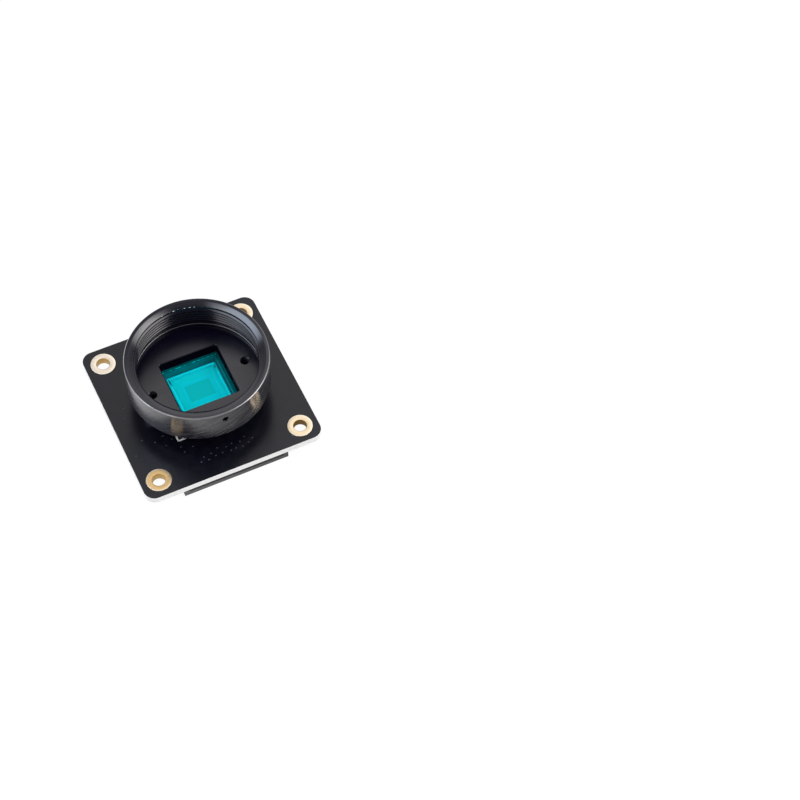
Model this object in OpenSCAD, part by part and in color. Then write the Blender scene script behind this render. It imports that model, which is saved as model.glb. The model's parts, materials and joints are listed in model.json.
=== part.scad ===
// Camera module: a square board with an image sensor under a CS lens mount.
// Origin: centre of the four mounting holes, on the board's front face.
// +Z is the optical axis, towards the lens. The cable socket faces -Y, under the board.

/* [Board] */
// Side of the square board
board_w = 38; // [37:0.5:44]
// Thickness of the board
board_t = 1.6; // [1:0.1:2.4]
// Radius of the board's corners
board_corner_r = 2.3; // [1:0.1:4]

/* [Mounting holes] */
// Distance from the board's edge to the middle of a mounting hole
hole_inset = 3.75; // [3.4:0.05:4.5]
// Bore of a mounting hole, inside its plating
hole_d = 2.7; // [2.2:0.1:3.2]
// Outer diameter of the plated ring round a hole
hole_pad_d = 5.1; // [4.4:0.1:5.6]
// Height of the plated ring above the board
hole_pad_t = 0.05; // [0.03:0.01:0.12]
// Thickness of the plating inside a hole
barrel_t = 0.1; // [0.05:0.01:0.2]

/* [Lens mount] */
// Nominal diameter of the lens thread
thread_d = 25.4; // [25:0.1:26]
// Wall of the mount's ring, outside the thread
ring_wall = 1.8; // [1.4:0.05:2.5]
// Distance from the mount's rim to the image plane
flange_focal = 12.526; // [12:0.001:14]
// Depth of the lead-in cone over the thread
entry_h = 0.5; // [0.3:0.05:0.8]
// Width of the lead-in cone on the rim, outside the thread
entry_w = 1.05; // [0.7:0.05:1.1]
// Depth of the runout groove under the thread, past the thread's wall
runout_depth = 0.45; // [0.2:0.05:0.6]
// Height of the runout groove
runout_h = 1.6; // [0.8:0.1:2]
// Height of the lip between the groove and the floor
runout_lip_h = 0.9; // [0.4:0.1:1.2]
// Chamfer on the rim's outer edge
rim_chamfer = 0.25; // [0.1:0.05:0.5]
// Chamfer on the ring's lower edge
skirt_chamfer = 0.4; // [0.1:0.05:0.6]
// How far the ring reaches below the floor
skirt_drop = 0.3; // [0.1:0.1:1.5]
// Thickness of the floor over the filter
floor_t = 2.4; // [1.8:0.1:3]
// Chamfer round the window in the floor
window_chamfer = 0.15; // [0.05:0.05:0.3]
// Corner radius of the window in the floor
window_corner_r = 0.4; // [0.2:0.1:1]
// How far the ring stands out past the cup's base
ring_overhang = 1.7; // [1:0.1:2]
// How far the cup's base reaches down round the neck, below the filter's seat
base_drop = 0.3; // [0.1:0.1:0.6]
// Wall of the square neck
neck_wall = 1.3; // [1:0.1:1.6]
// Outer corner radius of the neck
neck_corner_r = 1; // [0.5:0.1:1.5]
// Radius of a screw ear on the neck
ear_r = 2.4; // [2:0.1:2.6]
// Diameter of the lock screw's tapped hole
lock_hole_d = 1.25; // [1:0.05:2]
// Distance from the rim to the lock screw's hole
lock_hole_drop = 2.1; // [1.6:0.1:3.5]

/* [Mount screws] */
// Distance between the two screws of the lens mount
screw_pitch = 20; // [19.6:0.1:20.4]
// Tapping drill of the mount's screw holes
tap_d = 1.6; // [1.4:0.05:1.8]
// Length of a screw under its head
screw_len = 5; // [4:0.5:6]
// Diameter of a screw's head
screw_head_d = 3.8; // [3.2:0.1:4.2]
// Height of a screw's head
screw_head_h = 1.3; // [1:0.1:1.6]
// Clearance hole for a screw through the board
screw_hole_d = 2.2; // [2:0.1:2.6]

/* [Filter] */
// Thickness of the filter glass
filter_t = 1; // [0.5:0.1:1.2]
// Width of the seat that holds the filter's edge
filter_ledge = 0.5; // [0.3:0.05:0.8]
// Height of the foam gasket between the board and the filter
gasket_h = 2.7; // [2.4:0.1:3.2]
// Wall of the foam gasket
gasket_wall = 0.95; // [0.7:0.05:1.2]

/* [Sensor] */
// Side of the square sensor package
package_w = 10.5; // [9.8:0.1:10.8]
// Height of the package without its cover glass
package_h = 1.25; // [1.1:0.05:1.5]
// Thickness of the package's floor
package_floor_t = 0.5; // [0.3:0.05:0.6]
// Width of the package's rim
package_rim = 0.95; // [0.8:0.05:1.2]
// Width of the shelf for the bond wires, round the package's cavity
shelf_w = 0.5; // [0.3:0.05:0.7]
// Solder notches on one side of the package
notches_per_side = 12; // [8:1:12]
// Radius of a solder notch
notch_r = 0.18; // [0.1:0.01:0.24]
// Thickness of the cover glass
cover_t = 0.5; // [0.3:0.05:0.7]
// How far the cover glass stops short of the package's edge
cover_inset = 0.45; // [0.3:0.05:0.6]
// Gap from either end of the sensor die to the shelf
die_end_gap = 0.3; // [0.1:0.05:0.6]
// Gap from either long side of the sensor die to the shelf
die_side_gap = 0.7; // [0.3:0.05:1]
// Thickness of the sensor die
die_t = 0.3; // [0.2:0.05:0.4]

/* [Cable socket] */
// Contacts in the socket
pin_count = 15; // [13:1:16]
// Distance between neighbouring contacts
pin_pitch = 1; // [0.9:0.05:1.05]
// Height of the socket below the board
socket_h = 2.7; // [2.3:0.1:3]
// Depth of the socket's housing, back from its front face
socket_d = 5.2; // [5:0.1:6]
// Thickness of the housing's back wall
socket_back_t = 1; // [0.8:0.05:1.2]
// Thickness of the housing's floor, on the board
socket_floor_t = 0.6; // [0.5:0.05:0.8]
// Thickness of the housing's roof, away from the board
socket_roof_t = 0.45; // [0.3:0.05:0.6]
// Width of the housing's solid end past the cable slot
socket_end_w = 1.9; // [1.4:0.1:2]
// Distance from the outermost contact to the end of the cable slot
slot_margin = 1.1; // [0.8:0.05:1.4]
// Thickness of the sheet that the contacts are cut from
contact_w = 0.36; // [0.25:0.01:0.5]
// Height of a contact's solder tail
contact_t = 0.18; // [0.12:0.01:0.25]
// How far a solder tail reaches out behind the housing
tail_len = 0.9; // [0.5:0.05:1.4]
// Distance from the board's edge back to the closed latch
latch_setback = 0.55; // [0:0.05:1.5]
// Thickness of the latch's front bar
latch_bar_t = 0.9; // [0.7:0.05:1.2]
// How far the latch slides out
latch_travel = 1.2; // [0.8:0.1:1.3]
// Width of a latch arm
latch_arm_w = 1.05; // [0.8:0.05:1.3]
// Length of the hook at the end of a latch arm
hook_len = 1; // [0.6:0.05:1.2]
// How far a hook reaches into the housing's side
hook_depth = 0.45; // [0.3:0.05:0.6]
// How far the latch's tongue reaches into the cable slot
tongue_len = 2.2; // [1.5:0.1:2.6]
// Length of a solder tab at the socket's end
tab_len = 0.8; // [0.5:0.05:1]
// Thickness of a solder tab's upright
tab_t = 0.25; // [0.15:0.05:0.35]
// Height of a solder tab's upright
tab_h = 1.6; // [1.2:0.1:1.8]
// How far a solder tab's foot reaches out past the housing
tab_foot_l = 1.1; // [0.8:0.1:1.5]

/* [Oscillator and regulators] */
// Length of the oscillator
oscillator_l = 3.2; // [2.5:0.1:4]
// Width of the oscillator
oscillator_w = 2.5; // [2:0.1:3]
// Height of the oscillator's base
oscillator_base_h = 0.6; // [0.4:0.05:0.8]
// Thickness of the oscillator's lid
oscillator_lid_t = 0.2; // [0.1:0.05:0.3]
// How far the lid stops short of the oscillator's edge
oscillator_lid_inset = 0.2; // [0.1:0.05:0.3]
// Radius of the notch in each corner of the oscillator
oscillator_notch_r = 0.25; // [0.15:0.05:0.4]
// Length of a regulator's body
regulator_l = 2.9; // [2.7:0.1:3.1]
// Width of a regulator's body, at its parting line
regulator_w = 1.6; // [1.4:0.1:1.8]
// Height of a regulator's body
regulator_h = 1.05; // [0.9:0.05:1.3]
// Draft of a regulator's sides
regulator_draft = 0.08; // [0.04:0.01:0.12]
// Height of a regulator's body above the board
regulator_standoff = 0.05; // [0.02:0.01:0.15]
// Distance between neighbouring regulators
regulator_pitch = 7; // [6:0.1:7.5]
// Distance between neighbouring leads of a regulator
lead_pitch = 0.95; // [0.8:0.05:1]
// Width of a lead
lead_w = 0.4; // [0.3:0.05:0.5]
// Thickness of a lead
lead_t = 0.14; // [0.1:0.01:0.2]
// How far a lead reaches out from the body
lead_reach = 0.65; // [0.5:0.05:0.8]

/* [Chip parts] */
// Length of a resistor
small_chip_l = 1; // [0.9:0.05:1.1]
// Width and height of a resistor
small_chip_w = 0.5; // [0.4:0.05:0.6]
// Length of a resistor's terminal
small_terminal_l = 0.22; // [0.15:0.01:0.3]
// Length of a capacitor or a ferrite bead
chip_l = 1.6; // [1.5:0.05:1.7]
// Width and height of a capacitor or a ferrite bead
chip_w = 0.8; // [0.7:0.05:0.9]
// Length of a capacitor's terminal
terminal_l = 0.3; // [0.2:0.05:0.4]
// Length of a bulk capacitor
bulk_chip_l = 2; // [1.9:0.05:2.2]
// Width of a bulk capacitor
bulk_chip_w = 1.25; // [1.1:0.05:1.4]
// Height of a bulk capacitor
bulk_chip_h = 1.1; // [0.9:0.05:1.3]
// Length of a bulk capacitor's terminal
bulk_terminal_l = 0.4; // [0.3:0.05:0.5]
// How far the terminals stand proud of a chip's body
terminal_lip = 0.02; // [0.01:0.01:0.04]
// Distance between neighbouring small chip parts in a row
chip_row_pitch = 1.8; // [1.5:0.1:2]

/* [Layout under the board] */
// Distance from the board's side edge to the columns of parts
column_inset = 3.2; // [3:0.1:4]
// Distance from the board's middle to a row of capacitors
capacitor_row_y = 4.5; // [3:0.1:5]
// Distance from the board's middle to the row of resistors
resistor_row_y = 10; // [8:0.1:11]
// Distance from the middle of the row of resistors to its outer group
resistor_group_x = 9; // [8:0.1:10]
// Distance from a regulator to its capacitor
regulator_capacitor_gap = 2.7; // [2.4:0.1:3]
// Distance between neighbouring bulk capacitors
bulk_pitch = 3; // [2:0.1:3.2]
// Distance from the board's middle to the first bulk capacitor, towards the socket
bulk_start_y = 6; // [5:0.1:7]
// Clear board between the last ferrite bead and the ring of a mounting hole
ferrite_hole_gap = 1.1; // [0.5:0.1:2]
// Distance from the board's middle to the oscillator, along X
oscillator_x = 4.5; // [3:0.1:6]
// Distance from the board's middle to the oscillator, along Y
oscillator_y = 9; // [8:0.1:10]

/* [Hidden] */

cut = 1;              // how far a cutting shape runs past the solid it cuts
join = 0.01;          // how far two shapes of one piece run into each other
round_fn = 96;        // segments of large round shapes in the preview
small_fn = 32;        // segments of small round shapes in the preview

// Colours
mask_black = [0.05, 0.05, 0.06];
anodised_black = [0.1, 0.1, 0.11];
plated_gold = [0.93, 0.76, 0.45];
solder_tin = [0.75, 0.76, 0.77];
steel_grey = [0.7, 0.71, 0.72];
filter_cyan = [0.1, 0.75, 0.8, 0.6];
foam_grey = [0.25, 0.26, 0.27];
ceramic_white = [0.85, 0.85, 0.83];
silicon_teal = [0.2, 0.35, 0.36];
clear_glass = [0.8, 0.9, 0.9, 0.35];
socket_ivory = [0.85, 0.83, 0.76];
latch_grey = [0.16, 0.16, 0.17];
mould_black = [0.07, 0.07, 0.07];
chip_tan = [0.6, 0.47, 0.33];
ferrite_grey = [0.27, 0.27, 0.28];

// Clearances
filter_gap = 0.1;     // filter to the wall of its pocket
gasket_gap = 0.2;     // gasket to the neck's wall
package_gap = 0.4;    // gasket to the sensor package
barrel_gap = 0.02;    // plating to the board's drilled hole
screw_gap = 0.05;     // screw to the wall of its tapped hole, a side
latch_gap = 0.15;     // latch to the housing, a side
stop_gap = 0.1;       // hook to either end of its slot
contact_gap = 0.05;   // contact to the wall of its channel, a side
tab_gap = 0.1;        // solder tab to the front of its slot

// Sensor, its gasket and the filter share the neck's pocket
cavity_w = package_w - 2 * package_rim;
well_w = cavity_w - 2 * shelf_w;
cover_w = package_w - 2 * cover_inset;
gasket_hole_w = package_w + 2 * package_gap;
gasket_w = gasket_hole_w + 2 * gasket_wall;
pocket_w = gasket_w + 2 * gasket_gap;
filter_w = pocket_w - 2 * filter_gap;
window_w = filter_w - 2 * filter_ledge;
neck_w = pocket_w + 2 * neck_wall;

// Heights of the optical stack above the board
image_z = package_floor_t + die_t;
rim_z = image_z + flange_focal;
filter_z = gasket_h;
seat_z = filter_z + filter_t;
base_z = seat_z - base_drop;
floor_z = seat_z + floor_t;
skirt_z = floor_z - skirt_drop;
lip_z = floor_z + runout_lip_h;
thread_low_z = lip_z + runout_h;
thread_top_z = rim_z - entry_h;

// Turned radii of the lens mount
thread_r = thread_d / 2;
groove_r = thread_r + runout_depth;
mount_r = thread_r + ring_wall;
base_r = mount_r - ring_overhang;

// Mounting holes
hole_pitch = board_w - 2 * hole_inset;
hole_drill_d = hole_d + 2 * (barrel_t + barrel_gap);

// Screws of the lens mount
screw_d = tap_d - 2 * screw_gap;
recess_l = 0.55 * screw_head_d;
recess_w = 0.13 * screw_head_d;
recess_low = 0.4 * screw_head_h;
screw_dome_r = 0.8 * screw_head_d;

// Cable socket. In its frame y runs from the front face into the board, and z away from the board
pin_span = (pin_count - 1) * pin_pitch;
slot_w = pin_span + 2 * slot_margin;
slot_d = socket_d - socket_back_t;
slot_high = socket_h - socket_roof_t;
socket_w = slot_w + 2 * socket_end_w;
socket_front_y = -board_w / 2 + latch_setback + latch_bar_t + stop_gap / 2;
lead_in = 0.3;        // height of the chamfer at the mouth of the cable slot
channel_w = contact_w + 2 * contact_gap;
channel_y = 0.8;      // front end of a contact's channel
channel_low = 0.15;   // floor of a contact's channel
channel_high = 1.1;   // top of a contact's channel, inside the cable slot

// Slide latch
hook_wall = 0.3;      // housing between the hook's slot and the solder tab's slot
latch_top_gap = 0.1;  // front bar, short of the socket's height
arm_top_gap = 0.3;    // arm, short of the socket's height
arm_h = 1.3;
bar_h = 1.05;
tongue_tip_h = 0.3;
tongue_h = 0.6;
latch_front_y = -latch_bar_t - stop_gap / 2;
latch_back_y = -stop_gap / 2;
latch_high = socket_h - latch_top_gap;
latch_low = latch_high - bar_h;
arm_high = socket_h - arm_top_gap;
arm_low = arm_high - arm_h;
arm_in = socket_w / 2 + latch_gap;
arm_out = arm_in + latch_arm_w;
arm_len = socket_d - tab_len - tab_gap - hook_wall - stop_gap;
tongue_high = slot_high - latch_gap;

// Contact, seen from the side
tip_front = 1.1;      // front end of the spring arm
tip_y = 1.5;          // highest point of the spring arm
tip_z = 0.95;         // height of that point
arm_root_z = 0.45;    // top of the spring arm where it leaves the post
arm_knee_y = 2;       // where the spring arm bends up to its tip
post_t = 0.5;         // depth of the post
post_high = 1;        // height of the post
post_y = slot_d + 0.2;
spring_t = 0.2;       // thickness of the spring arm

// Rows and columns under the board
column_x = board_w / 2 - column_inset;
regulator_ys = [for (i = [-1:1]) i * regulator_pitch];
ferrite_end_y = hole_pitch / 2 - hole_pad_d / 2 - ferrite_hole_gap;

// Places of the chip parts: [x, y, turn]
capacitor_places = concat(
    [for (y = regulator_ys) [column_x, y + regulator_capacitor_gap, 0]],
    [for (side = [-1, 1], i = [-2:2]) [i * chip_row_pitch, side * capacitor_row_y, 90]]
);
bulk_places = [for (i = [0:2]) [-column_x, i * bulk_pitch - bulk_start_y, 0]];
resistor_places = concat(
    [for (i = [-1.5:1.5]) [resistor_group_x + i * chip_row_pitch, resistor_row_y, 90]],
    [for (i = [-0.5:0.5]) [i * chip_row_pitch, resistor_row_y, 90]]
);
ferrite_places = [for (i = [0:2]) [-column_x, ferrite_end_y - chip_w / 2 - i * chip_row_pitch, 0]];

// ---------- shared shapes ----------

// A square with round corners
module rounded_square(w, r) {
    square([w, w - 2 * r], center = true);
    square([w - 2 * r, w], center = true);
    for (x = [-1, 1], y = [-1, 1])
        translate([x, y] * (w / 2 - r)) circle(r, $fn = small_fn);
}

// Puts children at the four mounting holes
module at_holes() {
    for (x = [-1, 1], y = [-1, 1])
        translate([x, y, 0] * hole_pitch / 2) children();
}

// Puts children at the two screws of the lens mount
module at_screws() {
    for (x = [-1, 1]) translate([x * screw_pitch / 2, 0, 0]) children();
}

// Builds children on the board's underside, with z pointing away from the board
module under_board() {
    translate([0, 0, -board_t]) mirror([0, 0, 1]) children();
}

// Builds children in the socket's own frame
module in_socket() {
    under_board() translate([0, socket_front_y, 0]) children();
}

// Builds children on both sides of x = 0
module both_sides() {
    for (side = [0, 1]) mirror([side, 0, 0]) children();
}

// Extrudes a y-z outline along x, centred on x = 0
module across(w) {
    rotate([90, 0, 90]) linear_extrude(w, center = true) children();
}

// Extrudes an x-z outline along y, centred on y = 0
module along(w) {
    rotate([90, 0, 0]) linear_extrude(w, center = true) children();
}

// A block given by its lowest and highest corners
module block(low, high) {
    translate(low) cube(high - low);
}

// A flat square plate, centred on the optical axis
module plate(w, z, h) {
    translate([0, 0, z]) linear_extrude(h) square(w, center = true);
}

// Puts children at each [x, y, turn] in a list, under the board
module at_places(places) {
    under_board() for (p = places) translate([p[0], p[1], 0]) rotate(p[2]) children();
}

// Body of a chip part, between its terminals
module chip_body(l, w, h, terminal) {
    block([terminal - l / 2, terminal_lip - w / 2, 0],
        [l / 2 - terminal, w / 2 - terminal_lip, h - terminal_lip]);
}

// Both terminals of a chip part
module chip_terminals(l, w, h, terminal) {
    both_sides() block([l / 2 - terminal, -w / 2, 0], [l / 2, w / 2, h]);
}

// ---------- board ----------

module pcb() {
    color(mask_black)
    difference() {
        translate([0, 0, -board_t]) linear_extrude(board_t) rounded_square(board_w, board_corner_r);
        at_holes() board_hole(hole_drill_d);
        at_screws() board_hole(screw_hole_d);
    }
}

module board_hole(d) {
    translate([0, 0, -board_t - cut]) cylinder(d = d, h = board_t + 2 * cut, $fn = small_fn);
}

// Plated rings on both faces, joined by the plating inside each hole
module hole_plating() {
    color(plated_gold)
    at_holes()
    rotate_extrude($fn = small_fn * 2)
    polygon([
        [hole_d / 2, -board_t - hole_pad_t],
        [hole_pad_d / 2, -board_t - hole_pad_t],
        [hole_pad_d / 2, -board_t],
        [hole_d / 2 + barrel_t, -board_t],
        [hole_d / 2 + barrel_t, 0],
        [hole_pad_d / 2, 0],
        [hole_pad_d / 2, hole_pad_t],
        [hole_d / 2, hole_pad_t]
    ]);
}

// ---------- lens mount ----------

// Half section of the turned cup: base, overhanging ring, rim, thread wall, runout groove and floor
module cup_section() {
    polygon([
        [0, base_z],
        [base_r, base_z],
        [base_r, skirt_z],
        [mount_r - skirt_chamfer, skirt_z],
        [mount_r, skirt_z + skirt_chamfer],
        [mount_r, rim_z - rim_chamfer],
        [mount_r - rim_chamfer, rim_z],
        [thread_r + entry_w, rim_z],
        [thread_r, thread_top_z],
        [thread_r, thread_low_z],
        [groove_r, thread_low_z],
        [groove_r, lip_z],
        [thread_r, lip_z],
        [thread_r, floor_z],
        [0, floor_z]
    ]);
}

// Square neck with an ear for each screw
module neck_outline() {
    rounded_square(neck_w, neck_corner_r);
    for (x = [-1, 1]) translate([x * screw_pitch / 2, 0]) circle(ear_r, $fn = round_fn);
    square([screw_pitch, 2 * ear_r], center = true);
}

// Window through the floor, with a chamfer along its upper edges
module window_cut() {
    chamfer_w = window_chamfer * sqrt(2);
    translate([0, 0, seat_z - cut])
        linear_extrude(floor_t + 2 * cut) rounded_square(window_w, window_corner_r);
    for (turn = [0:90:270])
        rotate(turn) translate([0, window_w / 2, floor_z]) rotate([45, 0, 0])
            cube([window_w - 2 * window_corner_r, chamfer_w, chamfer_w], center = true);
}

// Tapped hole through the ring's wall, for the screw that locks the lens
module lock_hole() {
    translate([0, cut - thread_r, rim_z - lock_hole_drop]) rotate([90, 0, 0])
        cylinder(d = lock_hole_d, h = ring_wall + 2 * cut, $fn = small_fn);
}

module lens_mount() {
    color(anodised_black)
    difference() {
        union() {
            rotate_extrude($fn = round_fn * 2) cup_section();
            linear_extrude(seat_z + floor_t / 2) neck_outline();
        }
        window_cut();
        plate(pocket_w, -cut, seat_z + cut);
        at_screws() translate([0, 0, -cut]) cylinder(d = tap_d, h = floor_z + 2 * cut, $fn = small_fn);
        lock_hole();
    }
}

// Pan-head screws with a cross recess, driven from under the board
module mount_screws() {
    color(steel_grey)
    under_board() at_screws() {
        difference() {
            intersection() {
                cylinder(d = screw_head_d, h = screw_head_h, $fn = small_fn * 2);
                translate([0, 0, screw_head_h - screw_dome_r]) sphere(screw_dome_r, $fn = small_fn * 2);
            }
            for (turn = [0, 90])
                rotate(turn) translate([-recess_l / 2, -recess_w / 2, recess_low])
                    cube([recess_l, recess_w, screw_head_h]);
        }
        translate([0, 0, -screw_len]) cylinder(d = screw_d, h = screw_len + recess_low / 2, $fn = small_fn);
    }
}

// ---------- filter and sensor ----------

module ir_filter() {
    color(filter_cyan) plate(filter_w, filter_z, filter_t);
}

// Foam frame round the sensor, which holds the filter up against its seat
module filter_gasket() {
    color(foam_grey)
    linear_extrude(gasket_h)
    difference() {
        square(gasket_w, center = true);
        square(gasket_hole_w, center = true);
    }
}

// Leadless ceramic package: solder notches down its sides and a stepped cavity
module sensor_package() {
    notch_pitch = cavity_w / (notches_per_side - 1);
    shelf_z = (package_floor_t + package_h) / 2;
    color(ceramic_white)
    difference() {
        linear_extrude(package_h)
        difference() {
            square(package_w, center = true);
            for (turn = [0:90:270], i = [0:notches_per_side - 1])
                rotate(turn) translate([package_w / 2, i * notch_pitch - cavity_w / 2])
                    circle(notch_r, $fn = small_fn);
        }
        plate(cavity_w, shelf_z, package_h);
        plate(well_w, package_floor_t, package_h);
    }
}

module sensor_die() {
    color(silicon_teal)
    plate([well_w - 2 * die_end_gap, well_w - 2 * die_side_gap], package_floor_t, die_t);
}

module sensor_cover_glass() {
    color(clear_glass) plate(cover_w, package_h, cover_t);
}

// ---------- cable socket ----------

module socket_housing() {
    color(socket_ivory)
    in_socket()
    difference() {
        block([-socket_w / 2, 0, 0], [socket_w / 2, socket_d, socket_h]);
        cable_slot();
        for (i = [0:pin_count - 1]) translate([i * pin_pitch - pin_span / 2, 0, 0]) contact_channel();
        both_sides() {
            latch_slot();
            tab_slot();
        }
    }
}

// Slot for the flat cable, with a chamfer along the lower edge of its mouth
module cable_slot() {
    block([-slot_w / 2, -cut, socket_floor_t], [slot_w / 2, slot_d, slot_high]);
    across(slot_w) polygon([
        [-cut, socket_floor_t - lead_in],
        [0, socket_floor_t - lead_in],
        [lead_in, socket_floor_t + join],
        [-cut, socket_floor_t + join]
    ]);
}

// Channel for one contact, open at the back for its tail
module contact_channel() {
    block([-channel_w / 2, channel_y, channel_low], [channel_w / 2, socket_d + cut, channel_high]);
    block([-channel_w / 2, post_y - contact_gap, -cut], [channel_w / 2, socket_d + cut, channel_high]);
}

// Slot that the latch's hook runs in
module latch_slot() {
    block([arm_in - hook_depth - stop_gap, arm_len - hook_len - latch_travel - stop_gap, arm_low - stop_gap],
        [socket_w / 2 + cut, arm_len + stop_gap, arm_high + stop_gap]);
}

module tab_slot() {
    block([socket_w / 2 - tab_t, socket_d - tab_len - tab_gap, -cut],
        [socket_w / 2 + cut, socket_d + cut, tab_h]);
}

// Slide latch: a front bar, a tongue that presses the cable down, and two hooked arms
module socket_latch() {
    color(latch_grey)
    in_socket() {
        block([-arm_out, latch_front_y, latch_low], [arm_out, latch_back_y, latch_high]);
        across(slot_w - 2 * latch_gap) polygon([
            [latch_back_y - join, tongue_high - tongue_h],
            [tongue_len, tongue_high - tongue_tip_h],
            [tongue_len, tongue_high],
            [latch_back_y - join, tongue_high]
        ]);
        both_sides() {
            block([arm_in, latch_front_y, arm_low], [arm_out, arm_len, arm_high]);
            block([arm_in - hook_depth, arm_len - hook_len, arm_low], [arm_in + join, arm_len, arm_high]);
        }
    }
}

// Side view of one contact: solder tail, post in the back wall, and spring arm with a bent tip
module contact_outline() {
    polygon([
        [socket_d + tail_len, 0],
        [socket_d + tail_len, contact_t],
        [post_y + post_t, contact_t],
        [post_y + post_t, post_high],
        [post_y, post_high],
        [post_y, arm_root_z],
        [arm_knee_y, tip_z - spring_t],
        [tip_y, tip_z],
        [tip_front, tip_z - spring_t],
        [tip_front, tip_z - 2 * spring_t],
        [tip_y, tip_z - spring_t],
        [arm_knee_y, tip_z - 2 * spring_t],
        [post_y, arm_root_z - spring_t],
        [post_y, 0]
    ]);
}

module socket_contacts() {
    color(plated_gold)
    in_socket()
    for (i = [0:pin_count - 1])
        translate([i * pin_pitch - pin_span / 2, 0, 0]) across(contact_w) contact_outline();
}

// Solder tabs that hold the socket's ends to the board
module socket_anchor_tabs() {
    color(solder_tin)
    in_socket() both_sides() {
        block([socket_w / 2 - tab_t, socket_d - tab_len, 0], [socket_w / 2, socket_d, tab_h]);
        block([socket_w / 2 - tab_t, socket_d - tab_len, 0], [socket_w / 2 + tab_foot_l, socket_d, tab_t]);
    }
}

// ---------- parts under the board ----------

module at_oscillator(z) {
    under_board() translate([-oscillator_x, oscillator_y, z]) children();
}

module oscillator_base() {
    color(ceramic_white)
    at_oscillator(0)
    linear_extrude(oscillator_base_h)
    difference() {
        square([oscillator_l, oscillator_w], center = true);
        for (x = [-1, 1], y = [-1, 1])
            translate([x * oscillator_l / 2, y * oscillator_w / 2])
                circle(oscillator_notch_r, $fn = small_fn);
    }
}

module oscillator_lid() {
    color(steel_grey)
    at_oscillator(oscillator_base_h)
    linear_extrude(oscillator_lid_t)
    square([oscillator_l - 2 * oscillator_lid_inset, oscillator_w - 2 * oscillator_lid_inset], center = true);
}

module at_regulators() {
    under_board() for (y = regulator_ys) translate([column_x, y, regulator_standoff]) children();
}

// Moulded body with drafted sides
module regulator_bodies() {
    side_x = regulator_w / 2;
    face_x = side_x - regulator_draft;
    color(mould_black)
    at_regulators() along(regulator_l)
    polygon([
        [-face_x, 0],
        [face_x, 0],
        [side_x, regulator_h / 2],
        [face_x, regulator_h],
        [-face_x, regulator_h],
        [-side_x, regulator_h / 2]
    ]);
}

// Bent leads: three on one side and two on the other
module regulator_leads() {
    color(solder_tin)
    at_regulators() {
        for (i = [-1:1]) translate([0, i * lead_pitch, 0]) regulator_lead();
        for (i = [-1, 1]) translate([0, i * lead_pitch, 0]) mirror([1, 0, 0]) regulator_lead();
    }
}

// One gull-wing lead, from the body's parting line down to the board
module regulator_lead() {
    foot_z = -regulator_standoff;
    root_x = regulator_w / 2;
    knee_x = root_x + lead_t;
    ankle_x = knee_x + lead_t / 2;
    along(lead_w)
    polygon([
        [root_x, regulator_h / 2 - lead_t],
        [knee_x, regulator_h / 2 - lead_t],
        [ankle_x, foot_z],
        [root_x + lead_reach, foot_z],
        [root_x + lead_reach, foot_z + lead_t],
        [ankle_x + lead_t, foot_z + lead_t],
        [knee_x + lead_t, regulator_h / 2],
        [root_x, regulator_h / 2]
    ]);
}

module capacitors() {
    color(chip_tan) at_places(capacitor_places) chip_body(chip_l, chip_w, chip_w, terminal_l);
}

module capacitor_terminals() {
    color(solder_tin) at_places(capacitor_places) chip_terminals(chip_l, chip_w, chip_w, terminal_l);
}

module bulk_capacitors() {
    color(chip_tan)
    at_places(bulk_places) chip_body(bulk_chip_l, bulk_chip_w, bulk_chip_h, bulk_terminal_l);
}

module bulk_capacitor_terminals() {
    color(solder_tin)
    at_places(bulk_places) chip_terminals(bulk_chip_l, bulk_chip_w, bulk_chip_h, bulk_terminal_l);
}

module resistors() {
    color(mould_black)
    at_places(resistor_places) chip_body(small_chip_l, small_chip_w, small_chip_w, small_terminal_l);
}

module resistor_terminals() {
    color(solder_tin)
    at_places(resistor_places) chip_terminals(small_chip_l, small_chip_w, small_chip_w, small_terminal_l);
}

module ferrite_beads() {
    color(ferrite_grey) at_places(ferrite_places) chip_body(chip_l, chip_w, chip_w, terminal_l);
}

module ferrite_bead_terminals() {
    color(solder_tin) at_places(ferrite_places) chip_terminals(chip_l, chip_w, chip_w, terminal_l);
}

pcb();
hole_plating();
lens_mount();
mount_screws();
ir_filter();
filter_gasket();
sensor_package();
sensor_die();
sensor_cover_glass();
socket_housing();
socket_latch();
socket_contacts();
socket_anchor_tabs();
oscillator_base();
oscillator_lid();
regulator_bodies();
regulator_leads();
capacitors();
capacitor_terminals();
bulk_capacitors();
bulk_capacitor_terminals();
resistors();
resistor_terminals();
ferrite_beads();
ferrite_bead_terminals();
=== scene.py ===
"""Looks of the camera module: finishes, lens thread, board print, glass and solder on the CAD frame.

Everything is in metres, in the CAD frame. Its origin is in the middle of the four mounting holes, on the
board's front face, and +Z points up the optical axis.
"""

import json
import math

import bmesh
import bpy
from mathutils import Matrix, Vector


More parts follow.
